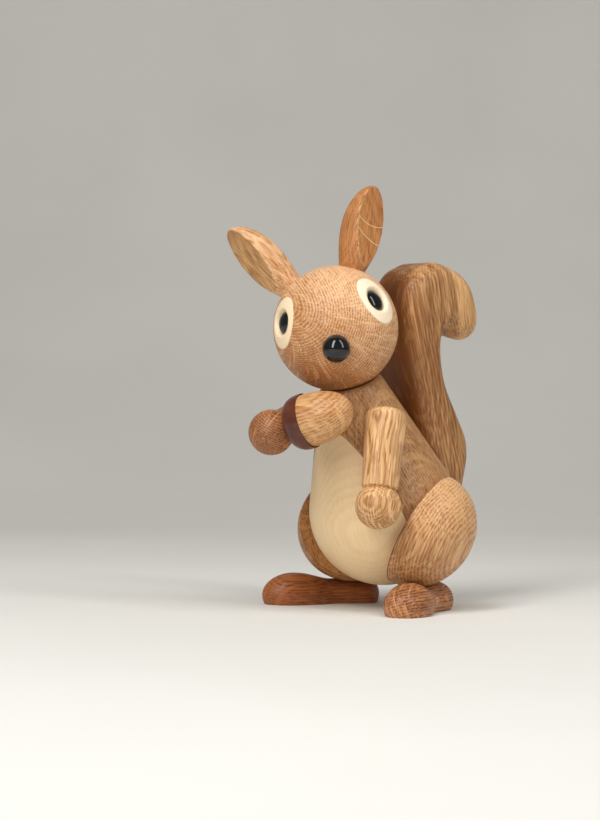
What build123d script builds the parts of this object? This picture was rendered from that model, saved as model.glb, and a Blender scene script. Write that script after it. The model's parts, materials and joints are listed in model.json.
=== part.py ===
"""A turned oak squirrel ornament with a turning head, swinging arms and a magnetic acorn.

Millimetres, +Z up, the squirrel faces -Y and its left side is +X.  The floor is z = 0, and
the origin lies on the floor under the middle of the whole figure.
"""
import os
from math import acos, atan2, cos, hypot, radians, sin, sqrt

from build123d import *

# Fits
glue_gap = 0.05            # radial room for glue round a fixed dowel or plug
running_gap = 0.06         # radial room round a dowel that turns
seat_gap = 0.3             # air between curved faces that turn past each other
magnet_gap = 0.1           # air between the hand and the acorn cap where they meet
ring_stand = 0.03          # how far a rubber ring stands proud of its dowel
end_room = 0.4             # room past the end of a dowel in its bore

# Body: a turned pear that leans forward, with a flush maple front
body_lean = 22.0           # degrees, forward from upright
hip_radius = 36.5
hip_drop = 2.5             # the bottom of the hip ball, below the top of the heels
neck_length = 94.9         # hip centre to head centre
neck_radius = 16.5
neck_station = 64.5        # hip centre to where the cone has the neck radius
neck_rim_round = 3.2
belly_share = 0.48         # of the hip radius, body axis to the glued joint of the maple front
belly_tilt = 4.0           # degrees, the joint leans further forward than the body

# Head and what is let into it
head_radius = 29.9
head_turn = 42.0           # degrees, towards its left at rest
neck_dowel_radius = 6.0
neck_dowel_in_torso = 20.0
neck_dowel_in_head = 20.0
neck_ring_section = 1.2    # radius of the rubber ring's section
neck_ring_inset = 6.0      # from the dowel's top end
eye_longitude = 61.0       # degrees from the nose
eye_latitude = 24.0        # degrees above the head's equator
eye_half_width = 9.9
eye_half_height = 12.4
eye_plug_depth = 9.0       # below the head's surface, on the eye's axis
pupil_radius = 6.3
pupil_set_back = 0.9       # how far the bead's front lies below the eye's face
pupil_dome = 2.2           # rise of the bead's front
pupil_bore_depth = 6.4
eye_rim_radius = 7.4
eye_rim_depth = 1.6
nose_radius = 6.5
nose_latitude = -4.0
nose_stand_out = 1.2       # ball centre beyond the head's surface
nose_peg_radius = 2.5
nose_peg_length = 8.0      # beyond the ball

# Ears: turned teardrops with one flat sliced off
right_ear_longitude = 117.0  # degrees from the nose
right_ear_latitude = 51.0
left_ear_longitude = 121.0
left_ear_latitude = 56.0
ear_length = 40.5          # beyond the head's surface
ear_stem_radius = 6.4
ear_belly_radius = 10.8
ear_belly_station = 22.0
ear_shoulder_radius = 7.4  # where the ear draws in to its tip
ear_shoulder_station = 34.0
ear_tenon_depth = 9.0
ear_flat_turn = 54.0       # degrees, the flat's outward turn from straight ahead
ear_flat_offset = 4.2      # ear axis to the flat, at the widest place
ear_flat_tilt = 10.0       # degrees, the flat nears the axis towards the tip

# Arms: one turned piece each, with a wrist groove and a ball hand
shoulder_station = 50.0    # hip centre to the shoulder, along the body
shoulder_forward = 19.0    # degrees, from straight sideways towards the front
arm_radius = 9.7
arm_wrist_radius = 8.6
arm_reach = 42.0           # pivot to the hand's centre
arm_dome = 5.2             # the arm's end above its pivot
arm_round_share = 0.7      # fullness of the arm's end
wrist_groove_depth = 1.5
wrist_station = 33.0
hand_radius = 10.8
arm_flat_offset = 7.2      # arm axis to the flat that faces the body
left_arm_swing = 30.0      # degrees, forward from hanging along the body
right_arm_swing = 101.0
shoulder_dowel_radius = 4.0
shoulder_dowel_in_torso = 13.0
shoulder_dowel_in_arm = 11.0
shoulder_ring_section = 0.9
shoulder_ring_inset = 3.5

# Acorn: a nut and its cap, held to the right hand by two magnets
acorn_radius = 12.5
acorn_nut_length = 22.5
acorn_round_share = 0.62   # fullness of the nut's end
acorn_cap_radius = 13.2
acorn_cap_height = 10.5
acorn_cap_lip = 2.0
acorn_spigot_radius = 8.0
acorn_spigot_length = 3.5
magnet_turn = 28.0         # degrees, about the arm, from the pivot to the magnet
magnet_radius = 3.0
magnet_length = 3.0
magnet_flat_radius = 4.6   # flats on the hand and the cap where they meet

# Thighs: eggs glued on flats that are planed on the body
thigh_flat_share = 0.616   # of the hip radius, hip centre to the flat
thigh_flat_back = 23.7     # degrees, the flat's turn towards the back
thigh_flat_down = 25.5     # degrees, the flat's turn towards the floor
thigh_long_share = 0.85    # of the hip radius, the egg's three radii
thigh_short_share = 0.753
thigh_height_share = 0.712
thigh_forward = 4.0        # the egg's middle, ahead of the flat's middle
thigh_rise = 4.4           # and above it
thigh_dowel_radius = 4.0
thigh_dowel_reach = 11.0   # into the body, and into the thigh

# Feet: turned skittle shapes with a flat sole
foot_length = 62.0
foot_toe_radius = 11.0
foot_toe_station = 46.0
foot_waist_radius = 7.8
foot_waist_station = 27.0
foot_heel_radius = 9.2
foot_axis_height = 4.4
toe_round_share = 0.55     # fullness of the toe's end
foot_splay = 22.0          # degrees, each toe turns out
left_heel_side_share = 0.466   # of the hip radius, the heel end's distance from the middle plane
left_heel_back_share = 0.658   # and behind the hip centre
right_heel_side_share = 0.603
right_heel_back_share = 0.548
ankle_station = 11.0       # heel end to the ankle dowel
ankle_dowel_radius = 3.0
ankle_dowel_in_foot = 7.0
ankle_dowel_in_thigh = 10.0

# Tail: sawn from a thick board to a hooked outline, with rounded edges
tail_width = 32.0
tail_depth = 51.0          # front of the stem to the back of the curl
tail_height_share = 2.745  # of the depth, root to the highest corner of the outline
tail_edge_share = 0.176    # of the depth, the rounding of the long edges
tail_drop_share = 0.3255   # of the depth, root below the hip centre
tail_inset_share = 0.647   # of the depth, front of the stem inside the back of the hip ball
tail_dowel_radius = 4.0
tail_dowel_lift = 35.0     # degrees, the dowel's rise from straight back
tail_dowel_in_torso = 11.0
tail_dowel_in_tail = 9.0
# Corners of the outline, up the front, over the curl and down the back, as shares of the depth
# and the height, each with the share of the depth that rounds it
tail_corner_shares = [
    (0.343, 0.26, 0.43), (0.0, 0.625, 1.24), (0.006, 0.943, 0.286), (0.381, 1.0, 0.33),
    (0.863, 0.957, 0.43), (1.0, 0.83, 0.43), (0.99, 0.704, 0.19), (0.41, 0.76, 0.135),
    (0.524, 0.571, 0.76), (0.879, 0.369, 0.47), (0.879, 0.293, 0.47),
]
tail_root_front_share = 0.248  # of the depth, the root's front corner
tail_root_back_share = 0.686   # and its back corner

# Directions of the leaning body, which stands on the heels
lean = radians(body_lean)
left = Vector(1, 0, 0)
body_up = Vector(0, -sin(lean), cos(lean))
body_front = Vector(0, -cos(lean), -sin(lean))
hip_height = foot_axis_height + foot_heel_radius - hip_drop + hip_radius
hip_centre = Vector(0, 0, hip_height)
body_plane = Plane(origin=hip_centre, x_dir=left, z_dir=body_up)

# The cone of the body touches the hip ball and passes through the neck
cone_angle = atan2(neck_station, neck_radius) - acos(hip_radius / hypot(neck_radius, neck_station))
neck_seat_radius = head_radius + seat_gap


def polar(longitude, latitude):
    """A direction at a longitude from the front (-Y) towards +X and a latitude above level."""
    flat = cos(radians(latitude))
    return Vector(flat * sin(radians(longitude)), -flat * cos(radians(longitude)), sin(radians(latitude)))


def planed(solid, plane):
    """A solid with everything above a plane planed away."""
    return split(solid, bisect_by=plane, keep=Keep.BOTTOM)


def dowel(radius, start, finish, plane):
    """A round pin along a plane's normal, between two heights above that plane."""
    pin = Cylinder(radius, finish - start, align=(Align.CENTER, Align.CENTER, Align.MIN))
    return plane * Pos(0, 0, start) * pin


def oval_pin(half_width, half_height, start, finish, plane):
    """An oval pin along a plane's normal, between two heights above that plane."""
    pin = extrude(Ellipse(half_width, half_height), finish - start)
    return plane * Pos(0, 0, start) * pin


def ring(radius, section, height, plane):
    """A rubber ring round a plane's normal, whose outside has the given radius."""
    return plane * Pos(0, 0, height) * Torus(radius - section, section)


def turned(edges):
    """A solid turned about Z from an outline in the XZ plane."""
    return revolve(Plane.XZ * make_face(edges), Axis.Z)


def cone_radius(station):
    """The body's radius at a station above the hip centre."""
    return (hip_radius - station * sin(cone_angle)) / cos(cone_angle)


def seat_station(radius):
    """The height of the head's dished seat above the hip centre, at a radius from the body axis."""
    return neck_length - sqrt(neck_seat_radius**2 - radius**2)


def body_blank():
    """The whole turned pear in its own frame, with the dished seat of the head."""
    touch = (hip_radius * cos(cone_angle), hip_radius * sin(cone_angle))
    side = (hip_radius * cos(radians(-45)), hip_radius * sin(radians(-45)))
    rim_radius = cone_radius(seat_station(neck_radius))
    rim = (rim_radius, seat_station(rim_radius))
    half = (rim_radius / 2, seat_station(rim_radius / 2))
    blank = turned([
        ThreePointArc((0, -hip_radius), side, touch),
        Line(touch, rim),
        ThreePointArc(rim, half, (0, seat_station(0))),
        Line((0, seat_station(0)), (0, -hip_radius)),
    ])
    rim_edge = blank.edges().filter_by(GeomType.CIRCLE).sort_by(Axis.Z)[-1]
    return fillet(rim_edge, neck_rim_round)


def thigh_plane(side):
    """The planed flat under a thigh: Z out of the body, X along the egg towards the front."""
    back = radians(thigh_flat_back)
    down = radians(thigh_flat_down)
    normal = Vector(side * cos(down) * cos(back), cos(down) * sin(back), -sin(down))
    ahead = (body_front - normal * body_front.dot(normal)).normalized()
    flat = hip_centre + normal * hip_radius * thigh_flat_share
    return Plane(origin=flat, x_dir=ahead, z_dir=normal)


def thigh(side):
    """Half an egg on its planed flat."""
    egg = scale(Sphere(hip_radius), by=(thigh_long_share, thigh_short_share, thigh_height_share))
    flat = thigh_plane(side)
    egg = flat * Pos(thigh_forward, -side * thigh_rise, 0) * egg
    return planed(egg, Plane(flat.origin, z_dir=-flat.z_dir))


def foot_plane(side):
    """The foot's own frame on the floor: heel end at the origin, Z along the foot, X up."""
    splay = radians(foot_splay)
    heel = Vector(-right_heel_side_share, right_heel_back_share, 0)
    if side > 0:
        heel = Vector(left_heel_side_share, left_heel_back_share, 0)
    along = Vector(side * sin(splay), -cos(splay), 0)
    return Plane(origin=heel * hip_radius, x_dir=(0, 0, 1), z_dir=along)


def foot(side):
    """A turned skittle shape lying on its side, with a flat sole."""
    slope = sqrt(1 / 2)
    heel_corner = (foot_heel_radius * slope, foot_heel_radius * (1 - slope))
    heel_top = (foot_heel_radius, foot_heel_radius)
    toe_top = (foot_toe_radius, foot_toe_station)
    toe_cap = foot_length - foot_toe_station
    pin = turned([
        ThreePointArc((0, 0), heel_corner, heel_top),
        Spline([heel_top, (foot_waist_radius, foot_waist_station), toe_top], tangents=[(0, 1), (0, 1)]),
        Bezier(toe_top, (foot_toe_radius, foot_toe_station + toe_round_share * toe_cap),
               (toe_round_share * foot_toe_radius, foot_length), (0, foot_length)),
        Line((0, foot_length), (0, 0)),
    ])
    pin = foot_plane(side) * Pos(foot_axis_height, 0, 0) * pin
    return planed(pin, Plane(origin=(0, 0, 0), z_dir=(0, 0, -1)))


def head_plane():
    """The head's own frame, turned about the body's axis."""
    turn = radians(head_turn)
    sideways = left * cos(turn) + body_up.cross(left) * sin(turn)
    return Plane(origin=hip_centre + body_up * neck_length, x_dir=sideways, z_dir=body_up)


def ear_axis(side):
    """The direction in which an ear stands on the head."""
    if side > 0:
        return polar(left_ear_longitude, left_ear_latitude)
    return polar(-right_ear_longitude, right_ear_latitude)


def ear(side):
    """A teardrop on a round tenon, in the head's frame, with its flat towards the outer front."""
    axis = ear_axis(side)
    profile = Spline(
        [(ear_stem_radius, 0), (ear_belly_radius, ear_belly_station),
         (ear_shoulder_radius, ear_shoulder_station), (0, ear_length)],
        tangents=[(0, 1), (-1, 0)],
    )
    blank = Plane(origin=axis * head_radius, z_dir=axis) * turned([
        profile,
        Line((0, ear_length), (0, -ear_tenon_depth)),
        Line((0, -ear_tenon_depth), (ear_stem_radius, -ear_tenon_depth)),
        Line((ear_stem_radius, -ear_tenon_depth), (ear_stem_radius, 0)),
    ])
    ahead = polar(side * ear_flat_turn, 0)
    across = (ahead - axis * ahead.dot(axis)).normalized()
    tilt = radians(ear_flat_tilt)
    spot = axis * (head_radius + ear_belly_station) + across * ear_flat_offset
    return planed(blank, Plane(origin=spot, z_dir=across * cos(tilt) + axis * sin(tilt)))


def eye_plane(side):
    """A plane at the head's surface under an eye: Z straight out, X level."""
    axis = polar(side * eye_longitude, eye_latitude)
    return Plane(origin=axis * head_radius, x_dir=Vector(0, 0, 1).cross(axis), z_dir=axis)


def eye_white(side):
    """An oval plug whose face is part of the head's ball, with a softened hole for the bead."""
    plane = eye_plane(side)
    plug = oval_pin(eye_half_width, eye_half_height, -eye_plug_depth, eye_plug_depth, plane) & Sphere(head_radius)
    plug -= dowel(pupil_radius, -pupil_bore_depth, eye_plug_depth, plane)
    rim = turned([
        Line((0, 0), (eye_rim_radius, 0)),
        Line((eye_rim_radius, 0), (pupil_radius, -eye_rim_depth)),
        Line((pupil_radius, -eye_rim_depth), (0, -eye_rim_depth)),
        Line((0, -eye_rim_depth), (0, 0)),
    ])
    return plug - plane * rim


def pupil(side):
    """A black bead, flat behind and domed in front."""
    radius = pupil_radius - glue_gap
    edge = -pupil_set_back - pupil_dome
    bulge = (radius**2 + pupil_dome**2) / (2 * pupil_dome)
    bead = turned([
        Line((0, -pupil_bore_depth), (radius, -pupil_bore_depth)),
        Line((radius, -pupil_bore_depth), (radius, edge)),
        RadiusArc((radius, edge), (0, -pupil_set_back), -bulge),
        Line((0, -pupil_set_back), (0, -pupil_bore_depth)),
    ])
    return eye_plane(side) * bead


def nose_plane():
    """A plane at the middle of the nose ball, with its normal straight out."""
    axis = polar(0, nose_latitude)
    return Plane(origin=axis * (head_radius + nose_stand_out), z_dir=axis)


def nose():
    """A black ball on a peg."""
    plane = nose_plane()
    return plane * Sphere(nose_radius) + dowel(nose_peg_radius, -nose_radius - nose_peg_length, 0, plane)


def shoulder_plane(side, swing):
    """The shoulder on the body's surface: Z out along the pivot, X down the arm at its swing."""
    forward = radians(shoulder_forward)
    sideways = left * (side * cos(forward)) + body_front * sin(forward)
    ahead = body_front * cos(forward) - left * (side * sin(forward))
    pivot = sideways * cos(cone_angle) + body_up * sin(cone_angle)
    hang = sideways * sin(cone_angle) - body_up * cos(cone_angle)
    along = hang * cos(radians(swing)) + ahead * sin(radians(swing))
    surface = hip_centre + body_up * shoulder_station + sideways * cone_radius(shoulder_station)
    return Plane(origin=surface, x_dir=along, z_dir=pivot)


def arm_plane(side, swing):
    """The arm's own frame: X from the pivot to the hand, Z out along the pivot."""
    return shoulder_plane(side, swing).offset(seat_gap + arm_flat_offset)


def arm():
    """A tapered arm with a domed end, a wrist groove and a ball hand, along X."""
    hand_start = arm_reach - sqrt(hand_radius**2 - arm_wrist_radius**2)
    groove = (wrist_station + hand_start) / 2
    outline = [
        Bezier((-arm_dome, 0), (-arm_dome, arm_radius * arm_round_share),
               (-arm_dome * arm_round_share, arm_radius), (0, arm_radius)),
        Line((0, arm_radius), (wrist_station, arm_wrist_radius)),
        Line((wrist_station, arm_wrist_radius), (groove, arm_wrist_radius - wrist_groove_depth)),
        Line((groove, arm_wrist_radius - wrist_groove_depth), (hand_start, arm_wrist_radius)),
        Line((hand_start, arm_wrist_radius), (hand_start, 0)),
        Line((hand_start, 0), (-arm_dome, 0)),
    ]
    shaft = planed(revolve(make_face(outline), Axis.X), Plane(origin=(0, 0, -arm_flat_offset), z_dir=(0, 0, -1)))
    return shaft + Pos(arm_reach, 0, 0) * Sphere(hand_radius)


def magnet_plane():
    """The hand's flat for the acorn, in the arm's frame: Z out of the hand."""
    turn = radians(magnet_turn)
    out = Vector(0, sin(turn), -cos(turn))
    flat = sqrt(hand_radius**2 - magnet_flat_radius**2)
    return Plane(origin=Vector(arm_reach, 0, 0) + out * flat, x_dir=(1, 0, 0), z_dir=out)


def acorn_cap():
    """A domed cup with a flat on top, a straight lip and a socket for the nut's spigot."""
    lip_top = acorn_cap_height - acorn_cap_lip
    run = acorn_cap_radius - magnet_flat_radius
    cap = turned([
        Line((0, 0), (magnet_flat_radius, 0)),
        Bezier((magnet_flat_radius, 0), (magnet_flat_radius + run * acorn_round_share, 0),
               (acorn_cap_radius, lip_top * (1 - acorn_round_share)), (acorn_cap_radius, lip_top)),
        Line((acorn_cap_radius, lip_top), (acorn_cap_radius, acorn_cap_height)),
        Line((acorn_cap_radius, acorn_cap_height), (0, acorn_cap_height)),
        Line((0, acorn_cap_height), (0, 0)),
    ])
    socket = acorn_spigot_length + end_room
    cap -= dowel(acorn_spigot_radius + glue_gap, acorn_cap_height - socket, acorn_cap_height, Plane.XY)
    return cap - dowel(magnet_radius + glue_gap, 0, magnet_length, Plane.XY)


def acorn_nut():
    """An egg with a blunt end, on a spigot that fits the cap."""
    end = acorn_cap_height + acorn_nut_length
    foot_of_spigot = acorn_cap_height - acorn_spigot_length
    return turned([
        Line((0, foot_of_spigot), (acorn_spigot_radius, foot_of_spigot)),
        Line((acorn_spigot_radius, foot_of_spigot), (acorn_spigot_radius, acorn_cap_height)),
        Line((acorn_spigot_radius, acorn_cap_height), (acorn_radius, acorn_cap_height)),
        Bezier((acorn_radius, acorn_cap_height),
               (acorn_radius, acorn_cap_height + acorn_round_share * acorn_nut_length),
               (acorn_radius * acorn_round_share, end), (0, end)),
        Line((0, end), (0, foot_of_spigot)),
    ])


def tail():
    """A board sawn to the hooked outline, with its long edges rounded over."""
    front = hip_radius - tail_depth * tail_inset_share
    base = hip_height - tail_depth * tail_drop_share
    height = tail_depth * tail_height_share
    corners = [(front + back * tail_depth, base + up * height) for back, up, _ in tail_corner_shares]
    root = [(front + tail_root_back_share * tail_depth, base),
            (front + tail_root_front_share * tail_depth, base)]
    outline = make_face(Polyline(*corners, *root, close=True))
    for corner, shares in zip(corners, tail_corner_shares):
        vertex = outline.vertices().sort_by_distance(corner)[0]
        outline = fillet(vertex, shares[2] * tail_depth)
    board = extrude(Plane.YZ * outline, tail_width / 2, both=True)
    sides = board.faces().filter_by(Axis.X)
    root_face = board.faces().sort_by(Axis.Z)[0]
    long_edges = [edge for edge in sides.edges() if edge not in root_face.edges()]
    return fillet(long_edges, tail_edge_share * tail_depth)


def tail_dowel_plane():
    """The tail dowel's place on the hip ball, with Z out along the dowel."""
    lift = radians(tail_dowel_lift)
    axis = Vector(0, cos(lift), sin(lift))
    return Plane(origin=hip_centre + axis * hip_radius, x_dir=left, z_dir=axis)


def ankle_plane(side):
    """The top of the foot under the thigh, with Z up."""
    heel = foot_plane(side).origin
    along = foot_plane(side).z_dir * ankle_station
    return Plane(heel + along + Vector(0, 0, foot_axis_height + foot_heel_radius))


def neck_plane():
    """The bottom of the head's dished seat, with Z up the body's axis."""
    return Plane(origin=hip_centre + body_up * seat_station(0), x_dir=left, z_dir=body_up)


pieces = {}
turned_body = body_plane * body_blank()
thighs = {1: thigh(1), -1: thigh(-1)}
swings = {1: left_arm_swing, -1: right_arm_swing}
names = {1: "left_", -1: "right_"}

# Body: the maple front is parted from the pear along a flat glued joint
body = turned_body - thighs[1] - thighs[-1]
belly_lean = radians(body_lean + belly_tilt)
belly_cut = Plane(origin=hip_centre + body_front * hip_radius * belly_share,
                  z_dir=(0, -cos(belly_lean), -sin(belly_lean)))
torso = planed(body, belly_cut)
pieces["belly_panel"] = planed(body, -belly_cut)
torso -= dowel(neck_dowel_radius + glue_gap, -neck_dowel_in_torso - end_room, neck_dowel_in_head, neck_plane())

# Neck: the dowel is glued into the body, and its rubber ring holds the head
ring_height = neck_dowel_in_head - neck_ring_inset
neck_ring = ring(neck_dowel_radius + ring_stand, neck_ring_section, ring_height, neck_plane())
pieces["neck_ring"] = neck_ring
pieces["neck_dowel"] = dowel(neck_dowel_radius, -neck_dowel_in_torso, neck_dowel_in_head, neck_plane()) - neck_ring

# Head: a ball bored for the neck, the nose, the ears and the eyes
head = Sphere(head_radius)
nose_reach = nose_radius + nose_peg_length + end_room
head -= dowel(nose_peg_radius + glue_gap, -nose_reach, 0, nose_plane())
head -= nose_plane() * Sphere(nose_radius + glue_gap)
for side in (1, -1):
    mortise = Plane(origin=ear_axis(side) * head_radius, z_dir=ear_axis(side))
    head -= dowel(ear_stem_radius + glue_gap, -ear_tenon_depth - end_room, ear_length, mortise)
    head -= oval_pin(eye_half_width + glue_gap, eye_half_height + glue_gap, -eye_plug_depth,
                     eye_plug_depth, eye_plane(side))
    pieces[names[side] + "ear"] = head_plane() * ear(side)
    pieces[names[side] + "eye_white"] = head_plane() * eye_white(side)
    pieces[names[side] + "pupil"] = head_plane() * pupil(side)
head = head_plane() * head
head -= dowel(neck_dowel_radius + running_gap, -neck_dowel_in_torso, neck_dowel_in_head + end_room, neck_plane())
pieces["head"] = head
pieces["nose"] = head_plane() * nose()

# Tail: coped to the body and the thighs, on one dowel
tail_pin = tail_dowel_plane()
tail_bore = dowel(tail_dowel_radius + glue_gap, -tail_dowel_in_torso - end_room,
                  tail_dowel_in_tail + end_room, tail_pin)
pieces["tail"] = tail() - turned_body - thighs[1] - thighs[-1] - tail_bore
pieces["tail_dowel"] = dowel(tail_dowel_radius, -tail_dowel_in_torso, tail_dowel_in_tail, tail_pin)
torso -= tail_bore

# Legs and arms: each thigh is coped to the foot that it stands on
for side in (1, -1):
    sole_piece = foot(side)
    thigh_bore = dowel(thigh_dowel_radius + glue_gap, -thigh_dowel_reach - end_room,
                       thigh_dowel_reach + end_room, thigh_plane(side))
    ankle_bore = dowel(ankle_dowel_radius + glue_gap, -ankle_dowel_in_foot - end_room,
                       ankle_dowel_in_thigh + end_room, ankle_plane(side))
    pieces[names[side] + "thigh"] = thighs[side] - sole_piece - thigh_bore - ankle_bore
    pieces[names[side] + "thigh_dowel"] = dowel(thigh_dowel_radius, -thigh_dowel_reach,
                                                thigh_dowel_reach, thigh_plane(side))
    pieces[names[side] + "foot"] = sole_piece - ankle_bore
    pieces[names[side] + "ankle_dowel"] = dowel(ankle_dowel_radius, -ankle_dowel_in_foot,
                                                ankle_dowel_in_thigh, ankle_plane(side))
    torso -= thigh_bore

    pivot = shoulder_plane(side, swings[side])
    pivot_end = seat_gap + shoulder_dowel_in_arm
    torso -= dowel(shoulder_dowel_radius + glue_gap, -shoulder_dowel_in_torso - end_room, pivot_end, pivot)
    pivot_ring = ring(shoulder_dowel_radius + ring_stand, shoulder_ring_section,
                      pivot_end - shoulder_ring_inset, pivot)
    pieces[names[side] + "shoulder_ring"] = pivot_ring
    pieces[names[side] + "shoulder_dowel"] = dowel(shoulder_dowel_radius, -shoulder_dowel_in_torso,
                                                   pivot_end, pivot) - pivot_ring
    limb = arm_plane(side, swings[side]) * arm()
    limb -= dowel(shoulder_dowel_radius + running_gap, 0, pivot_end + end_room, pivot)
    pieces[names[side] + "arm"] = limb
pieces["torso"] = torso

# Acorn: a magnet in the hand's flat meets a magnet in the cap's flat
hand_face = Plane(arm_plane(-1, right_arm_swing) * magnet_plane())
cap_face = hand_face.offset(magnet_gap)
hand_pocket = dowel(magnet_radius + glue_gap, -magnet_length, 0, hand_face)
pieces["right_arm"] = planed(pieces["right_arm"], hand_face) - hand_pocket
pieces["hand_magnet"] = dowel(magnet_radius, -magnet_length, 0, hand_face)
pieces["acorn_magnet"] = dowel(magnet_radius, 0, magnet_length, cap_face)
pieces["acorn_cap"] = cap_face * acorn_cap()
pieces["acorn_nut"] = cap_face * acorn_nut()

# The origin goes under the middle of the whole figure
box = Compound(list(pieces.values())).bounding_box()
to_origin = Pos(-box.center().X, -box.center().Y, 0)
os.makedirs("parts", exist_ok=True)
for name, solid in pieces.items():
    export_step(to_origin * solid, f"parts/{name}.step")
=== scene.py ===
# %% [markdown]
# # A turned oak squirrel
# This lesson dresses a wooden squirrel ornament. Its solids were drawn first, in millimetres, and
# were packed as a frame of named pieces that turn on real joints. Here the pieces get their wood,
# their softened edges and their gloss. The frame is loaded before anything else, because every
# piece made later takes its place from it.

# %% Load the frame
import json
from math import cos, radians, sin, tau

import bmesh
import bpy
from mathutils import Matrix, Vector
from mathutils.geometry import interpolate_bezier


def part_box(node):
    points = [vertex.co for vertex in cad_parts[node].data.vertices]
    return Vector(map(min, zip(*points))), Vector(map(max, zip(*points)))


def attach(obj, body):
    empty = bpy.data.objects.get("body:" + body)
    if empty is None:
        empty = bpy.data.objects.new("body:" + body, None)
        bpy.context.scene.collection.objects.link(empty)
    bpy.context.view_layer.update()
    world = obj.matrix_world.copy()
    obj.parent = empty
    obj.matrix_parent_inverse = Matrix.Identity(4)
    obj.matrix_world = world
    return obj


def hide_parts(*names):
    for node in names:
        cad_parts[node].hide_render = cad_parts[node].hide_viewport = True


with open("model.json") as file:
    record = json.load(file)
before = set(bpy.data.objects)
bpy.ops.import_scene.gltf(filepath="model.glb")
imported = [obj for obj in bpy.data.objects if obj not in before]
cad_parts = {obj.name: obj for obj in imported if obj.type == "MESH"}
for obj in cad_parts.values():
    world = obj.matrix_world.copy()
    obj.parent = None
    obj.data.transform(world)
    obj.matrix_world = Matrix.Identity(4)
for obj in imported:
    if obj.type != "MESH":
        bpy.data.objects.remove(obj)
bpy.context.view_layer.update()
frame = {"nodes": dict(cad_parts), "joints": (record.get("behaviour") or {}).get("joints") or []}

MM = 0.001
nodes = frame["nodes"]

# %% [markdown]
# ## Landmarks
# A maker marks centres on the wood before cutting. The centres here come from the joints of the
# frame: the head turns about the line of the leaning body, and the hip lies further down that line.
# The three directions of the viewer (towards the camera, to its right, and up) help to say which
# way the grain of each piece runs.

# %% Mark the centres
joints = {joint["name"]: joint for joint in frame["joints"]}
head_centre = Vector(joints["head_turn"]["pos_m"])
body_up = Vector(joints["head_turn"]["axis"])
neck_length = 94.9
hip_centre = head_centre - body_up * neck_length * MM
to_viewer = Vector((0.712, -0.702, 0.0))
to_right = Vector((0.702, 0.712, 0.0))
upward = Vector((0.0, 0.0, 1.0))


def middle(name):
    """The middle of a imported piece's box."""
    low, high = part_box(name)
    return (low + high) / 2


def seen(right, up, near):
    """A direction given as the camera sees it."""
    return (to_right * right + upward * up + to_viewer * near).normalized()


print("hip centre:", [round(value, 4) for value in hip_centre])

# %% [markdown]
# ## Turning on the lathe
# A lathe makes a piece from one line: the line spins about an axis, and the chisel's path becomes
# the surface. Blender's spin does the same with a row of vertices. The row comes from smooth curves
# with handles, which give a swelling line without corners. After the spin its doubled seam is merged
# and the faces are turned outwards.

# %% The lathe
def curve(*knots, points=16):
    """Points of a smooth curve, given as its start, two handles and its end."""
    return [tuple(point) for point in interpolate_bezier(*[Vector(knot) for knot in knots], points)]


def lathe(profile, base, axis, steps=72):
    """A solid turned from (radius, station) points in millimetres, about an axis at a base."""
    shape = bmesh.new()
    side = axis.orthogonal().normalized()
    row = [shape.verts.new(base + (side * radius + axis * station) * MM) for radius, station in profile]
    line = [shape.edges.new(pair) for pair in zip(row, row[1:])]
    bmesh.ops.spin(shape, geom=row + line, cent=base, axis=axis, angle=tau, steps=steps, use_merge=True)
    bmesh.ops.remove_doubles(shape, verts=shape.verts, dist=0.01 * MM)
    bmesh.ops.recalc_face_normals(shape, faces=shape.faces)
    for face in shape.faces:
        face.smooth = True
    return shape


print("lathe ready:", len(curve((0, 0), (0, 1), (1, 1), (1, 0))), "points to a curve")

# %% [markdown]
# ## Taking the place of a solid
# A finer shape stands where its plain solid stood: it rides on the same body, and it keeps the
# solid's slot for its finish. Some shapes start as a copy of the solid itself. The solid's mesh is
# loose triangles, so a copy is merged first and can then be pulled about like one skin.

# %% Copies and replacements
finer = {}


def copy_of(node):
    """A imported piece's mesh with its loose triangles merged."""
    shape = bmesh.new()
    shape.from_mesh(nodes[node].data)
    bmesh.ops.remove_doubles(shape, verts=shape.verts, dist=0.001 * MM)
    return shape


def hand_over(shape, name, node, body):
    """Makes an object of a finished shape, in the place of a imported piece."""
    mesh = bpy.data.meshes.new(name)
    shape.to_mesh(mesh)
    shape.free()
    piece = bpy.data.objects.new(name, mesh)
    bpy.context.scene.collection.objects.link(piece)
    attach(piece, body)
    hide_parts(node)
    finer[node] = piece
    return piece


print("ready to replace", len(nodes), "pieces or fewer")

# %% [markdown]
# ## Ears
# Each ear is a teardrop that swells evenly from its stem and rounds off at the tip. The maker turns
# it, then saws one flat face from it and eases the sharp edge with paper, which leaves a thin pale
# line of light there. The flat is cut with a plane, filled, and its edge is bevelled. Only the flat
# face stays flat-shaded, so it reads as sawn wood beside the rounded back.

# %% Turn and slice the ears
head_radius = 29.9
ear_axes = {"left": Vector((0.1635, 0.1853, 0.9690)), "right": Vector((-0.6079, -0.4421, 0.6595))}
ear_flats = {"left": Vector((0.9825, 0.0578, -0.1768)), "right": Vector((-0.0357, -0.8146, -0.5790))}
ear_line = [(0.0, -9.0), (6.4, -9.0)]
ear_line += curve((6.4, -0.6), (8.7, 7.0), (10.5, 13.0), (10.5, 21.0))
ear_line += curve((10.5, 21.0), (10.5, 29.5), (6.2, 40.5), (0.0, 40.5), points=22)[1:]
flat_station, flat_offset, flat_tilt = 22.0, 4.2, radians(10)
eased_edge = 0.45 * MM
flat_spots, flat_ways = {}, {}


def on_head(axis):
    """The point where a line from the head's centre comes out of the ball."""
    return head_centre + axis * head_radius * MM


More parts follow.
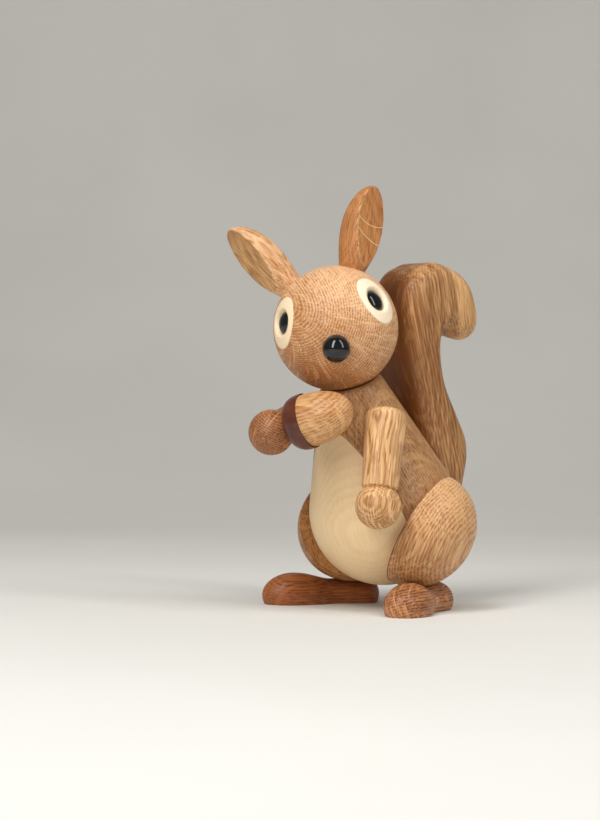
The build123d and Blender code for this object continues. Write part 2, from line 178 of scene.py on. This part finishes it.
for side, axis in ear_axes.items():
    flat_spots[side] = on_head(axis) + (axis * flat_station + ear_flats[side] * flat_offset) * MM
    flat_ways[side] = ear_flats[side] * cos(flat_tilt) + axis * sin(flat_tilt)
    shape = lathe(ear_line, on_head(axis), axis)
    everything = shape.verts[:] + shape.edges[:] + shape.faces[:]
    cut = bmesh.ops.bisect_plane(shape, geom=everything, dist=0.001 * MM, plane_co=flat_spots[side],
                                 plane_no=flat_ways[side], clear_outer=True)["geom_cut"]
    rim = [item for item in cut if isinstance(item, bmesh.types.BMEdge)]
    bmesh.ops.contextual_create(shape, geom=rim)
    bmesh.ops.recalc_face_normals(shape, faces=shape.faces)
    bmesh.ops.bevel(shape, geom=rim, offset=eased_edge, segments=3, profile=0.5, affect="EDGES",
                    material=-1)
    for face in shape.faces:
        face.smooth = True
    max(shape.faces, key=lambda face: face.calc_area()).smooth = False
    hand_over(shape, side + "_ear_sliced", side + "_ear", "head")
print("ears:", [len(finer[side + "_ear"].data.polygons) for side in ear_axes], "faces")

# %% [markdown]
# ## Eyes
# Each white is a flush maple plug with a softened hole, and a black bead sits in the hole. In a copy
# of the plug, every point near the hole is drawn in towards the eye's axis, which turns the narrow
# rim into a soft bowl that catches the light. The bead is turned on the lathe, with a full dome that
# mirrors a lamp, and it stands nearly flush.

# %% Soften the eyes and turn their beads
eye_axes = {"left": Vector((0.8901, 0.0382, 0.4541)), "right": Vector((-0.2974, -0.9532, 0.0535))}
bead_line = [(0.0, -6.3), (5.55, -6.3)] + curve((5.55, -3.4), (5.2, -1.7), (2.9, -0.5), (0.0, -0.5))
hole_radius, drawn_radius, rim_radius = 6.3, 5.6, 6.4
for side, axis in eye_axes.items():
    shape = copy_of(side + "_eye_white")
    for vert in shape.verts:
        step = vert.co - on_head(axis)
        out = step - axis * step.dot(axis)
        if out.length < rim_radius * MM:
            vert.co -= out * (1 - drawn_radius / hole_radius)
    hand_over(shape, side + "_eye_ring", side + "_eye_white", "head")
    bead = lathe(bead_line, on_head(axis), axis)
    hand_over(bead, side + "_eye_bead", side + "_pupil", "head")
print("eyes:", [len(finer[side + "_eye_white"].data.polygons) for side in eye_axes], "faces")

# %% [markdown]
# ## Tail
# The tail is sawn from a thick board and rounded with a rasp. The curl bites deeper into the stem
# than its plain solid does, so in a copy the notch is cut into finer faces, and the points near it
# are lifted, less and less with distance, like clay under a thumb. The end of the curl is rasped
# away a little towards its far side in the same manner. Large flat faces keep an even shade with
# normals weighted by area.

# %% Deepen the notch of the tail
notch, notch_reach = Vector((0.0, 36.5, 136.0)) * MM, 16 * MM
notch_lift = Vector((0.0, 1.5, 5.0)) * MM
cut_reach = 18 * MM
curl_end, curl_reach, curl_rise = Vector((0.0, 60.0, 129.0)) * MM, 26 * MM, 6.5 * MM
slope_start, slope_run = 8 * MM, 24 * MM
sharp_angle = radians(35)


def sideways(point, centre):
    """The distance between two points as seen from the side."""
    return (point - centre).yz.length


def nearness(point, centre, reach):
    """1 at a centre, easing to 0 at a reach from it."""
    away = sideways(point, centre) / reach
    return max(0.0, 1.0 - away * away) ** 2


shape = copy_of("tail")
close = [edge for edge in shape.edges
         if min(sideways(vert.co, notch) for vert in edge.verts) < cut_reach]
bmesh.ops.subdivide_edges(shape, edges=close, cuts=3, use_grid_fill=True)
for vert in shape.verts:
    vert.co += notch_lift * nearness(vert.co, notch, notch_reach)
    slope = min(1.0, max(0.0, (slope_start - vert.co.x) / slope_run))
    vert.co.z += curl_rise * slope * nearness(vert.co, curl_end, curl_reach)
for face in shape.faces:
    face.smooth = True
for edge in shape.edges:
    edge.smooth = len(edge.link_faces) == 2 and edge.calc_face_angle() < sharp_angle
tail = hand_over(shape, "tail_notched", "tail", "figure")
even = tail.modifiers.new("even_shade", "WEIGHTED_NORMAL")
even.keep_sharp = True
print("tail:", len(tail.data.polygons), "faces")

# %% [markdown]
# ## Wiring shader nodes
# A material is a small circuit of nodes. Each could be placed by hand in the editor; in a script a
# few short helpers keep the circuits readable. One sets or wires the inputs of a node, one puts a
# node down, one does a sum, one turns a range of values into a soft step, and one mixes two colours.

# %% Helpers for wiring
def wire(tree, inputs, sockets):
    """Sets each named or numbered input to a value, or wires it to another node's output."""
    for place, value in sockets.items():
        if isinstance(value, bpy.types.NodeSocket):
            tree.links.new(value, inputs[place])
        else:
            inputs[place].default_value = value


def put(tree, kind, sockets, **settings):
    """A new shader node with its settings made and its inputs wired."""
    made = tree.nodes.new("ShaderNode" + kind)
    for setting, value in settings.items():
        setattr(made, setting, value)
    wire(tree, made.inputs, sockets)
    return made


def calc(tree, operation, *values):
    """The result of one sum."""
    return put(tree, "Math", dict(enumerate(values)), operation=operation).outputs[0]


def soft_step(tree, value, start, finish, low=0.0, high=1.0):
    """A value that eases from low to high between start and finish."""
    sockets = {0: value, 1: start, 2: finish, 3: low, 4: high}
    return put(tree, "MapRange", sockets, interpolation_type="SMOOTHSTEP").outputs[0]


def mix(tree, share, first, second, how="MIX"):
    """Two colours mixed by a share."""
    sockets = {0: share, 6: first, 7: second}
    return put(tree, "Mix", sockets, data_type="RGBA", blend_type=how).outputs[2]


print("wiring helpers ready")

# %% [markdown]
# ## Colours and finishes
# Colours are chosen on a screen, whose 0 to 255 values are brighter than the light that they stand
# for, so they are turned back to light before a shader gets them. A finish is one material, put on
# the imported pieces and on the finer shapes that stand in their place.

# %% Helpers for finishes
def paint(red, green, blue):
    """A colour from 0-255 values as a screen shows them."""
    return [((value / 255 + 0.055) / 1.055) ** 2.4 for value in (red, green, blue)] + [1.0]


def shade(colour, strength):
    """A lighter or darker colour."""
    return [min(1.0, value * strength) for value in colour[:3]] + [1.0]


def finish_of(name):
    """A new material, its node tree and its surface shader."""
    material = bpy.data.materials.new(name)
    material.use_nodes = True
    return material, material.node_tree, material.node_tree.nodes["Principled BSDF"]


def dress(material, *names):
    """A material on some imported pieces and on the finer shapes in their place."""
    for name in names:
        for slot in nodes[name].material_slots:
            slot.material = material
        if name in finer:
            finer[name].data.materials.append(material)


print("colour check:", [round(value, 3) for value in paint(200, 155, 105)])

# %% [markdown]
# ## The trunk
# A flat picture of grain would slide over round pieces, so the wood is made as a whole trunk
# instead. The material works out where a point of the piece lay in the trunk, and a ball, an egg or
# a board then shows end grain, dashes and arcs just where a lathe would uncover them. Sizes are in
# millimetres in the trunk's own frame, whose Z runs up the grain from a point on the pith.

# %% Places in the trunk
def trunk_place(tree, pith, grain):
    """A point of the piece in the trunk's frame, in millimetres."""
    spot = put(tree, "TexCoord", {}).outputs["Object"]
    turn = grain.to_track_quat("Z", "Y").to_euler()
    sockets = {"Vector": spot, "Location": pith, "Rotation": turn, "Scale": (MM, MM, MM)}
    return put(tree, "Mapping", sockets, vector_type="TEXTURE").outputs[0]


def along(tree, start, way):
    """How far a point lies from a start along a direction, in millimetres."""
    spot = put(tree, "TexCoord", {}).outputs["Object"]
    step = put(tree, "VectorMath", {0: spot, 1: start}, operation="SUBTRACT").outputs[0]
    return put(tree, "VectorMath", {0: step, 1: way / MM}, operation="DOT_PRODUCT").outputs["Value"]


def noise(tree, place, scale, detail=2.0):
    """Smooth noise from 0 to 1 at a place."""
    return put(tree, "TexNoise", {"Vector": place, "Scale": scale, "Detail": detail})


def stretched(tree, place, shares):
    """A place with its three directions scaled apart."""
    return put(tree, "VectorMath", {0: place, 1: shares}, operation="MULTIPLY").outputs[0]


def swayed(tree, place, scale, sway):
    """A place that wanders to the sides, as the rings of a grown trunk do."""
    drift = noise(tree, place, scale).outputs["Color"]
    drift = put(tree, "VectorMath", {0: drift, 1: (0.5, 0.5, 0.5)}, operation="SUBTRACT").outputs[0]
    drift = stretched(tree, drift, (sway, sway, 0.0))
    return put(tree, "VectorMath", {0: place, 1: drift}, operation="ADD").outputs[0]


def from_pith(tree, place):
    """How far a place lies from the pith, in millimetres."""
    level = stretched(tree, place, (1.0, 1.0, 0.0))
    return put(tree, "VectorMath", {0: level}, operation="LENGTH").outputs["Value"]


print("trunk ready")

# %% [markdown]
# ## Years, pores and rays
# Oak shows three things at once. Every year's ring starts with a band of wide pores, the pores run
# along the trunk as short dark dashes, and rays run out from the pith as thin pale sheets. Each is a
# mask from 0 to 1. Noise that is stretched along the grain makes the dashes, and noise laid out by
# angle and distance from the pith makes the rays.

# %% Masks for oak
def early_wood(tree, radius, broad, streak, ring):
    """The band at the start of each year, uneven in its place and strength."""
    uneven = calc(tree, "MULTIPLY_ADD", broad, 1.2 * ring, radius)
    year = calc(tree, "FRACT", calc(tree, "DIVIDE", uneven, ring))
    rise = soft_step(tree, year, 0.0, 0.2)
    fall = soft_step(tree, year, 0.35, 0.8, 1.0, 0.0)
    strength = soft_step(tree, streak, 0.35, 0.6, 0.5, 1.0)
    return calc(tree, "MULTIPLY", calc(tree, "MULTIPLY", rise, fall), strength)


def pore_dashes(tree, place, early):
    """Short dashes along the grain, strongest in the early wood."""
    dashes = noise(tree, stretched(tree, place, (2.8, 2.8, 0.16)), 1.0, 1.0).outputs[0]
    crowding = calc(tree, "MULTIPLY_ADD", early, 0.65, 0.35)
    return calc(tree, "MULTIPLY", soft_step(tree, dashes, 0.52, 0.66), crowding)


def ray_sheets(tree, place, radius, ray_count):
    """Thin sheets that run out from the pith."""
    parts = put(tree, "SeparateXYZ", {0: place}).outputs
    angle = calc(tree, "ARCTAN2", parts[1], parts[0])
    sheet = put(tree, "CombineXYZ", {
        0: calc(tree, "MULTIPLY", angle, ray_count),
        1: calc(tree, "MULTIPLY", radius, 0.07),
        2: calc(tree, "MULTIPLY", parts[2], 0.09),
    }).outputs[0]
    return soft_step(tree, noise(tree, sheet, 1.0, 0.5).outputs[0], 0.58, 0.67)


print("3 masks for oak")

# %% [markdown]
# ## Oak
# The recipe lays the masks over a base that drifts from pale to deep. The habits of a billet are its
# ring width and ray gap in millimetres, the strength of its bands, pores, rays and fibres, its sway,
# a stain that deepens it all over, and a painted shade, which deepens it towards the side where
# shade falls. Pores are also duller and lie a little lower than the wood round them.

# %% The oak recipe
def oak(name, piece, grain, pith, pale, deep, ring=1.4, ray_gap=2.2, bands=0.28, pores=0.65, rays=0.4,
        fibre=0.0, sway=3.0, stain=0.0, painted_shade=None, marks=None):
    """Oak for one piece: its grain runs along a direction, and the pith lies at a step from its middle."""
    material, tree, shader = finish_of(name)
    place = trunk_place(tree, middle(piece) + pith * MM, grain)
    place = swayed(tree, place, scale=0.025, sway=sway)
    radius = from_pith(tree, place)
    broad = noise(tree, stretched(tree, place, (0.2, 0.2, 0.008)), 1.0).outputs[0]
    streak = noise(tree, stretched(tree, place, (1.1, 1.1, 0.02)), 1.0).outputs[0]
    cloud = noise(tree, place, 0.03, 1.0).outputs[0]
    early = early_wood(tree, radius, broad, streak, ring)
    pore = pore_dashes(tree, place, early)
    pith_distance = (pith - grain * pith.dot(grain)).length
    ray = ray_sheets(tree, place, radius, 2.0 * pith_distance / ray_gap)

    tone = calc(tree, "MULTIPLY_ADD", broad, 0.9, -0.55)
    tone = calc(tree, "ADD", tone, calc(tree, "MULTIPLY_ADD", streak, 1.3, -0.3))
    tone = calc(tree, "ADD", tone, calc(tree, "MULTIPLY_ADD", cloud, 0.7, stain - 0.35))
    tone = calc(tree, "MULTIPLY_ADD", early, bands, tone)
    # Painted shade: the tone deepens towards the side where shade falls.
    if painted_shade:
        tone = calc(tree, "ADD", tone, along(tree, middle(piece), painted_shade))
    colour = mix(tree, soft_step(tree, tone, -0.2, 1.1), pale, deep)
    if fibre:
        strands = soft_step(tree, broad, 0.3, 0.7, 1 + fibre, 1 - fibre)
        colour = mix(tree, 1.0, colour, strands, "MULTIPLY")
    colour = mix(tree, calc(tree, "MULTIPLY", pore, pores), colour, shade(deep, 0.5))
    colour = mix(tree, calc(tree, "MULTIPLY", ray, rays), colour, shade(pale, 1.25))
    if marks:
        colour = marks(tree, colour)

    rough = calc(tree, "MULTIPLY_ADD", pore, 0.2, 0.42)
    height = calc(tree, "MULTIPLY_ADD", pore, -1.0, calc(tree, "MULTIPLY", early, -0.25))
    bump = put(tree, "Bump", {"Strength": 0.2, "Distance": 0.12 * MM, "Height": height}).outputs[0]
    wire(tree, shader.inputs, {"Base Color": colour, "Roughness": rough, "Normal": bump,
                               "Specular IOR Level": 0.4})
    return material


print("oak recipe ready")

# %% [markdown]
# ## Seams, sawn flats and veins
# Small marks are painted on the wood, and two of them stand for light and shade. Each thigh gets
# painted shade in its last half millimetre before the flat that it is glued on by: a dark line where
# the crease of the joint lies in shade. The sawn flat of an ear has a tone of its own, and a painted
# highlight, a pale line, where its edge is eased. Two pale veins cross the left flat in shallow curves:
# each is a parabola, and the distance from it decides the colour.

# %% Marks in the wood
def seam_shade(start, way):
    """Painted shade: a dark line along a glued flat, where the crease of the joint lies in shade."""
    def mark(tree, colour):
        height = along(tree, start, way)
        rise = soft_step(tree, height, 0.0, 0.15)
        fall = soft_step(tree, height, 0.35, 0.7, 0.8, 0.0)
        return mix(tree, calc(tree, "MULTIPLY", rise, fall), colour, paint(64, 36, 18))
    return mark


def sawn(tree, colour, side, tint):
    """A tint on the flat of an ear and a painted highlight on its eased edge; gives the flat's mask too.
    """
    depth = calc(tree, "ABSOLUTE", along(tree, flat_spots[side], flat_ways[side]))
    on_flat = soft_step(tree, depth, 0.02, 0.15, 1.0, 0.0)
    off_flat = soft_step(tree, depth, 0.02, 0.15)
    # Painted highlight: a pale line on the eased edge, where the bevel would catch the light.
    edge = calc(tree, "MULTIPLY", off_flat, soft_step(tree, depth, 0.5, 0.9, 0.22, 0.0))
    colour = mix(tree, on_flat, colour, tint, "MULTIPLY")
    return mix(tree, edge, colour, paint(240, 204, 156)), on_flat


def right_ear_flat(tree, colour):
    """The sawn flat of the right ear, darker where the tip shows its end grain."""
    colour, on_flat = sawn(tree, colour, "right", (0.84, 0.78, 0.58, 1.0))
    tip = soft_step(tree, along(tree, flat_spots["right"], ear_axes["right"]), 8.0, 17.0, 0.0, 0.55)
    return mix(tree, calc(tree, "MULTIPLY", tip, on_flat), colour, paint(150, 96, 52))


def left_ear_flat(tree, colour):
    """The sawn flat of the left ear, with two pale veins across it."""
    colour, on_flat = sawn(tree, colour, "left", (1.16, 1.2, 1.16, 1.0))
    axis = ear_axes["left"]
    station = along(tree, on_head(axis), axis)
    across = along(tree, on_head(axis), axis.cross(ear_flats["left"]))
    for lowest, bend, centre in ((21.6, 0.0215, 1.5), (13.6, 0.0155, 9.3)):
        step = calc(tree, "SUBTRACT", across, centre)
        arc = calc(tree, "MULTIPLY_ADD", calc(tree, "MULTIPLY", step, step), bend, lowest)
        off = calc(tree, "ABSOLUTE", calc(tree, "SUBTRACT", station, arc))
        share = calc(tree, "MULTIPLY", soft_step(tree, off, 0.1, 0.4, 0.75, 0.0), on_flat)
        colour = mix(tree, share, colour, paint(240, 204, 152))
    return colour


# Painted shade along the joints of the thighs with the body.
left_seam_shade = seam_shade(Vector((0.02005, 0.01960, 0.03792)), Vector((0.8265, 0.3628, -0.4305)))
right_seam_shade = seam_shade(Vector((-0.01711, 0.01960, 0.03792)), Vector((-0.8265, 0.3628, -0.4305)))
print("2 seams and 2 sawn flats")

# %% [markdown]
# ## Oak pieces
# The maker cuts each piece from its own billet, so neighbours differ in colour and in the run of
# their grain. Each entry gives the grain's direction, a step from the piece to the pith in
# millimetres, a pale and a deep colour, and the habits that differ from the recipe's own. The head's
# grain points at the viewer, so its front shows crossed rings and rays.

# %% Cut the oak pieces
foot_splay = radians(22)
left_foot_run = Vector((sin(foot_splay), -cos(foot_splay), 0.0))
right_foot_run = Vector((-sin(foot_splay), -cos(foot_splay), 0.0))
left_arm_run = Vector((0.102, -0.216, -0.971))
right_arm_run = Vector(joints["acorn_pull"]["axis"])
nut_run = (middle("acorn_nut") - middle("acorn_cap")).normalized()

# Painted shade darkens the head low at its left, the left thigh at its left, and the tail towards the
# head, as the head's shadow.
billets = [
    ("head", seen(0.25, -0.3, 0.92), seen(-0.85, 0.5, 0.0) * 36, (228, 181, 136), (170, 110, 58),
     {"ring": 1.25, "sway": 5.0, "bands": 0.55, "rays": 0.34, "ray_gap": 1.5,
      "painted_shade": seen(-0.4, -0.9, 0.1) * 0.017}),
    ("torso", body_up, seen(-0.6, 0.0, 0.75) * 150, (202, 153, 103), (134, 88, 50),
     {"pores": 0.8, "bands": 0.24}),
    ("left_ear", ear_axes["left"], seen(-0.6, 0.0, -0.8) * 45, (192, 130, 78), (148, 88, 45),
     {"marks": left_ear_flat}),
    ("right_ear", ear_axes["right"], seen(0.6, 0.3, -0.7) * 40, (230, 185, 140), (176, 120, 68),
     {"ring": 2.4, "sway": 5.0, "marks": right_ear_flat}),
    ("left_arm", left_arm_run, seen(0.43, -0.22, -0.81) * 45, (232, 187, 134), (168, 113, 62),
     {"ring": 1.25, "bands": 0.48, "sway": 4.0, "rays": 0.5, "ray_gap": 1.8}),
    ("right_arm", right_arm_run, seen(-0.5, -0.85, 0.1) * 60, (182, 122, 76), (98, 54, 28),
     {"ring": 1.0, "rays": 0.7, "bands": 0.6, "ray_gap": 1.2}),
    ("acorn_nut", nut_run, seen(-0.1, -0.75, -0.6) * 45, (216, 170, 116), (172, 110, 62),
     {"pores": 0.5, "bands": 0.5, "sway": 4.0}),
    ("left_thigh", seen(0.36, 0.9, 0.15), seen(-0.95, 0.1, -0.3) * 150, (226, 177, 126), (156, 101, 51),
     {"rays": 0.24, "ray_gap": 1.3, "bands": 0.42, "painted_shade": seen(-0.9, -0.45, 0.0) * 0.011,
      "marks": left_seam_shade}),
    ("right_thigh", seen(-0.1, 0.97, 0.1), seen(0.9, 0.2, -0.4) * 150, (194, 138, 84), (128, 80, 40),
     {"marks": right_seam_shade}),
    ("tail", seen(-0.2, 0.97, 0.05), seen(-0.96, 0.0, -0.1) * 150, (216, 169, 114), (131, 79, 37),
     {"bands": 0.2, "pores": 0.22, "rays": 0.1, "sway": 2.0, "stain": 0.56, "fibre": 0.12,
      "painted_shade": seen(-0.97, -0.2, 0.0) * 0.022}),
    ("left_foot", left_foot_run, seen(0.3, -0.9, 0.1) * 55, (198, 138, 90), (116, 64, 33),
     {"rays": 0.65, "ray_gap": 1.9, "bands": 0.5}),
    ("right_foot", right_foot_run, seen(0.2, -0.9, -0.3) * 55, (178, 107, 57), (110, 54, 24),
     {"rays": 0.3}),
]
for piece, grain, pith, pale, deep, habits in billets:
    dress(oak("oak_" + piece, piece, grain, pith, paint(*pale), paint(*deep), **habits), piece)
print("oak on", len(billets), "pieces")

# %% [markdown]
# ## Maple
# The front of the body and the eyes are maple, which is close-grained and nearly plain. Its years
# show only as faint fine lines, which follow the round belly like the lines of a map. The recipe is
# the oak's with the pores and rays left out.

# %% The maple recipe
maple_ring, maple_sway, pith_step = 1.6, 9.0, 60


def maple(name, piece, grain, pith, pale, deep):
    """Maple for one piece, with faint year lines."""
    material, tree, shader = finish_of(name)
    place = trunk_place(tree, middle(piece) + pith * MM, grain)
    place = swayed(tree, place, scale=0.02, sway=maple_sway)
    year = calc(tree, "FRACT", calc(tree, "DIVIDE", from_pith(tree, place), maple_ring))
    rise = soft_step(tree, year, 0.0, 0.8)
    line = calc(tree, "MULTIPLY", rise, soft_step(tree, year, 0.86, 1.0, 1.0, 0.0))
    fleck = noise(tree, stretched(tree, place, (1.2, 1.2, 0.1)), 1.0).outputs[0]
    cloud = noise(tree, place, 0.035).outputs[0]
    tone = calc(tree, "MULTIPLY_ADD", line, 0.14, calc(tree, "MULTIPLY_ADD", fleck, 0.5, -0.2))
    tone = calc(tree, "ADD", tone, calc(tree, "MULTIPLY_ADD", cloud, 0.8, -0.3))
    colour = mix(tree, soft_step(tree, tone, 0.0, 1.0), pale, deep)
    rough = calc(tree, "MULTIPLY_ADD", fleck, 0.15, 0.35)
    bump = put(tree, "Bump", {"Strength": 0.08, "Distance": 0.1 * MM, "Height": fleck}).outputs[0]
    wire(tree, shader.inputs, {"Base Color": colour, "Roughness": rough, "Normal": bump,
                               "Specular IOR Level": 0.4})
    return material


maple_pieces = [
    ("maple_belly", "belly_panel", seen(0.35, 0.41, -0.84), (240, 210, 164), (216, 178, 128)),
    ("maple_left_eye", "left_eye_white", seen(0.2, 0.1, -1.0), (252, 234, 204), (240, 212, 174)),
    ("maple_right_eye", "right_eye_white", seen(0.2, 0.1, -1.0), (250, 226, 190), (234, 200, 156)),
]
for name, piece, to_pith, pale, deep in maple_pieces:
    dress(maple(name, piece, body_up, to_pith * pith_step, paint(*pale), paint(*deep)), piece)
print("maple on", len(maple_pieces), "pieces")

# %% [markdown]
# ## Lacquer, stain and the hidden pieces
# The nose and the beads of the eyes are dipped in black lacquer, and the acorn's cup is stained
# dark. None of them is one flat colour: lacquer varies a little in sheen, and stain lets the grain
# through. The dowels, rubber rings and magnets are hidden at rest or nearly so, but each has its own
# finish. The ankle dowels are stained browner than the others, close to the colour of the feet.

# %% Lacquer, stain, beech, rubber and steel
def coated(name, piece, first, second, scale, gloss, spread, dent, metal=0.0, shine=0.5):
    """A finish that drifts between two colours and two sheens."""
    material, tree, shader = finish_of(name)
    place = trunk_place(tree, middle(piece), upward)
    grain = noise(tree, place, scale, 3.0).outputs[0]
    colour = mix(tree, soft_step(tree, grain, 0.3, 0.7), paint(*first), paint(*second))
    rough = soft_step(tree, grain, 0.25, 0.75, gloss, gloss + spread)
    bump = put(tree, "Bump", {"Strength": dent, "Distance": 0.1 * MM, "Height": grain}).outputs[0]
    wire(tree, shader.inputs, {"Base Color": colour, "Roughness": rough, "Normal": bump,
                               "Metallic": metal, "Specular IOR Level": shine})
    return material


def named(ending):
    """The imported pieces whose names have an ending."""
    return [name for name in nodes if name.endswith(ending)]


lacquer = coated("black_lacquer", "nose", (10, 11, 12), (20, 21, 23), scale=0.25, gloss=0.05,
                 spread=0.05, dent=0.01, shine=0.6)
cup_stain = coated("cup_stain", "acorn_cap", (76, 33, 21), (100, 50, 33), scale=0.12, gloss=0.26,
                   spread=0.1, dent=0.03)
beech = coated("beech", "neck_dowel", (222, 190, 150), (200, 160, 116), scale=0.9, gloss=0.5,
               spread=0.15, dent=0.15)
ankle_peg = coated("ankle_peg", "left_ankle_dowel", (168, 112, 68), (128, 80, 46), scale=0.9, gloss=0.5,
                   spread=0.15, dent=0.15)
rubber = coated("black_rubber", "neck_ring", (26, 26, 27), (36, 36, 37), scale=2.0, gloss=0.6,
                spread=0.2, dent=0.3)
steel = coated("magnet_steel", "hand_magnet", (176, 178, 182), (150, 152, 156), scale=3.0, gloss=0.22,
               spread=0.15, dent=0.1, metal=1.0)
dress(lacquer, "nose", "left_pupil", "right_pupil")
dress(cup_stain, "acorn_cap")
dress(beech, *named("_dowel"))
dress(ankle_peg, *named("_ankle_dowel"))
dress(rubber, *named("_ring"))
dress(steel, *named("_magnet"))
print("lacquer, stain, beech, rubber and steel in place")

# %% [markdown]
# ## Floor and backdrop
# A photographer uses one sheet that lies flat and curves up behind, so no line cuts the picture. The
# sheet is two large faces, one lying and one standing, and a wide bevel rounds the bend between them.

# %% The sweep
half_width, near_end, far_end, wall_height, bend_size = 3.0, 2.4, 1.5, 2.6, 0.9
sheet = bmesh.new()
rows = []
for step, rise in ((near_end, 0.0), (-far_end, 0.0), (-far_end, wall_height)):
    spot = to_viewer * step + upward * rise
    rows.append([sheet.verts.new(spot + to_right * reach) for reach in (-half_width, half_width)])
for lower, upper in zip(rows, rows[1:]):
    sheet.faces.new((lower[0], lower[1], upper[1], upper[0]))
bend = [edge for edge in sheet.edges if len(edge.link_faces) == 2]
bmesh.ops.bevel(sheet, geom=bend, offset=bend_size, segments=24, profile=0.5, affect="EDGES", material=-1)
bmesh.ops.recalc_face_normals(sheet, faces=sheet.faces)
for face in sheet.faces:
    face.smooth = True
mesh = bpy.data.meshes.new("studio_sweep")
sheet.to_mesh(mesh)
sheet.free()
sweep = bpy.data.objects.new("studio_sweep", mesh)
bpy.context.scene.collection.objects.link(sweep)
print("sweep:", len(mesh.polygons), "faces")

# %% [markdown]
# ## Paper
# The sheet is pale paper. Paper is never quite even, so its tone drifts between two near whites.

# %% Paper on the sweep
material, tree, shader = finish_of("sweep_paper")
spot = put(tree, "TexCoord", {}).outputs["Object"]
mottle = noise(tree, spot, 3.0, 3.0).outputs[0]
colour = mix(tree, soft_step(tree, mottle, 0.3, 0.7), paint(232, 230, 224), paint(226, 224, 218))
wire(tree, shader.inputs, {"Base Color": colour, "Roughness": 0.8})
mesh.materials.append(material)
print("paper on", sweep.name)

# %% [markdown]
# ## Light
# Two tall soft boxes stand in front, one each side, and draw the two upright highlights on the black
# nose. The left one is the main light. A broad box overhead fills the tops, but it is kept out of
# reflections, so it leaves no third highlight. A dim warm world fills the shade.

# %% Lights
figure_middle = Vector((0.0, 0.0, 0.11))


def soft_box(name, place, size, power):
    """A rectangular light that faces the figure."""
    data = bpy.data.lights.new(name, "AREA")
    data.shape = "RECTANGLE"
    data.size, data.size_y = size
    data.energy = power
    lamp = bpy.data.objects.new(name, data)
    aim = (figure_middle - place).to_track_quat("-Z", "Y")
    lamp.matrix_world = Matrix.Translation(place) @ aim.to_matrix().to_4x4()
    bpy.context.scene.collection.objects.link(lamp)
    return lamp


top_box = soft_box("top_box", seen(0.0, 1.0, 0.5) * 1.4, size=(0.9, 0.7), power=6.0)
top_box.visible_glossy = False
soft_box("right_box", seen(0.56, 0.62, 0.40) * 1.3, size=(0.24, 1.35), power=5.5)
soft_box("left_box", seen(-0.36, 0.62, 0.60) * 1.3, size=(0.30, 1.35), power=11.0)
world = bpy.data.worlds.new("studio_fill")
bpy.context.scene.world = world
world.use_nodes = True
fill = world.node_tree.nodes["Background"]
wire(world.node_tree, fill.inputs, {"Color": (1.0, 0.97, 0.92, 1.0), "Strength": 0.18})
print("3 soft boxes")

# %% [markdown]
# ## Camera
# The camera looks level at the figure from its front left with a long lens, as a product
# photographer would, so the turned shapes stay true. A small shift frames the figure without tilting
# the camera, and a slight roll follows the photograph.

# %% Camera
picture_height, shift_pixels = 820.0, -8.0
camera_roll = radians(0.9)
step_x, step_y, camera_height = 0.693, -0.742, 0.100
lens_data = bpy.data.cameras.new("front_left_camera")
lens_data.lens = 90.88
lens_data.sensor_width = 36.0
lens_data.shift_y = shift_pixels / picture_height
lens_data.clip_start = 0.05
camera = bpy.data.objects.new("front_left_camera", lens_data)
stand = Vector((hip_centre.x + step_x, hip_centre.y + step_y, camera_height))
aim = (-to_viewer).to_track_quat("-Z", "Y").to_matrix() @ Matrix.Rotation(camera_roll, 3, "Z")
camera.matrix_world = Matrix.Translation(stand) @ aim.to_4x4()
bpy.context.scene.collection.objects.link(camera)
bpy.context.scene.camera = camera
bpy.context.scene.view_settings.view_transform = "Standard"
print("camera at", [round(value, 3) for value in stand])

# %% [markdown]
# ## Finish

# %% Finish
print("the figure is dressed")
